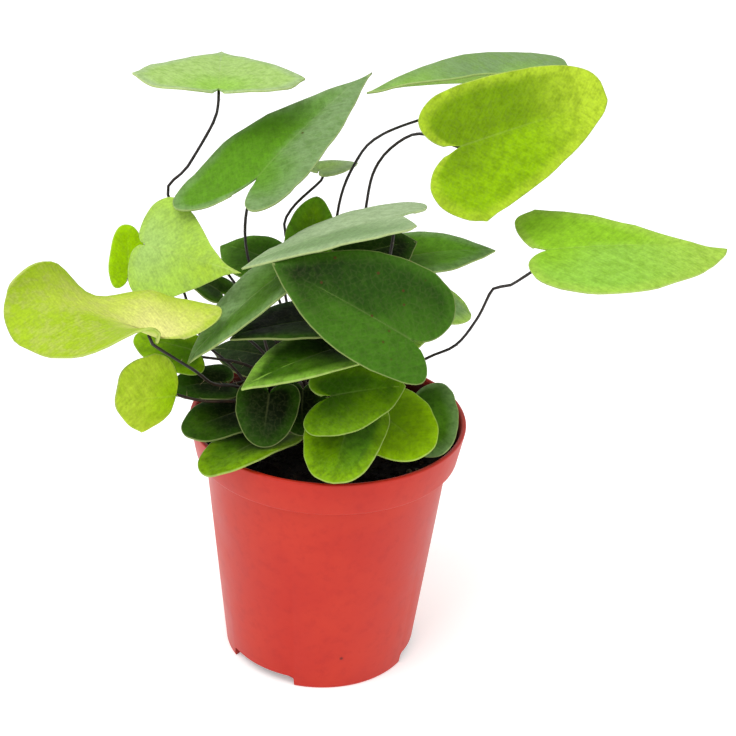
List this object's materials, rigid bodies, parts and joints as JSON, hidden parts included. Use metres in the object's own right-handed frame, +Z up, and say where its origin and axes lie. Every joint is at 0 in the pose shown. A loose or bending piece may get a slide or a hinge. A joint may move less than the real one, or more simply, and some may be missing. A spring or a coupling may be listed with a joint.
{
  "type": "potted heart fern",
  "caption": "Small heart fern in a round nursery pot: soil, a low rootstock, wiry dark stalks and heart-shaped leaves held at many angles.",
  "frame": {"origin": "centre of the pot's flat underside, where it rests", "axes": "+Z up along the pot's axis; -Y towards the side that shows the broad lowest leaves; +X towards the long leaf that reaches out to the right"},
  "size_m": [0.1408, 0.09, 0.1341],
  "materials": {
    "pot": "terracotta red moulded plastic with a slight sheen",
    "soil": "dark crumbly potting soil",
    "stalk": "black-brown wiry stalks with fine pale hairs",
    "leaf": "leathery green leaf, satin, with a fine rim and faint veins"
  },
  "bodies": {
    "root": {"pot": "pot", "soil": "soil", "crown": "stalk", "stalk_01": "stalk", "stalk_02": "stalk", "stalk_03": "stalk", "stalk_04": "stalk", "stalk_05": "stalk", "stalk_06": "stalk", "stalk_07": "stalk", "stalk_08": "stalk", "stalk_09": "stalk", "stalk_10": "stalk", "stalk_11": "stalk", "blade_01": "leaf", "blade_02": "leaf", "blade_03": "leaf", "blade_04": "leaf", "blade_05": "leaf", "blade_06": "leaf", "blade_07": "leaf", "blade_08": "leaf", "blade_09": "leaf", "blade_10": "leaf", "blade_11": "leaf", "blade_12": "leaf", "blade_13": "leaf", "blade_14": "leaf", "blade_15": "leaf", "blade_16": "leaf", "blade_17": "leaf", "blade_18": "leaf", "blade_19": "leaf", "blade_20": "leaf", "blade_21": "leaf", "blade_22": "leaf", "blade_23": "leaf", "blade_24": "leaf", "blade_25": "leaf", "blade_26": "leaf", "blade_27": "leaf", "blade_28": "leaf", "blade_29": "leaf", "blade_30": "leaf", "blade_31": "leaf", "blade_32": "leaf", "blade_33": "leaf", "blade_34": "leaf"}
  },
  "joints": []
}
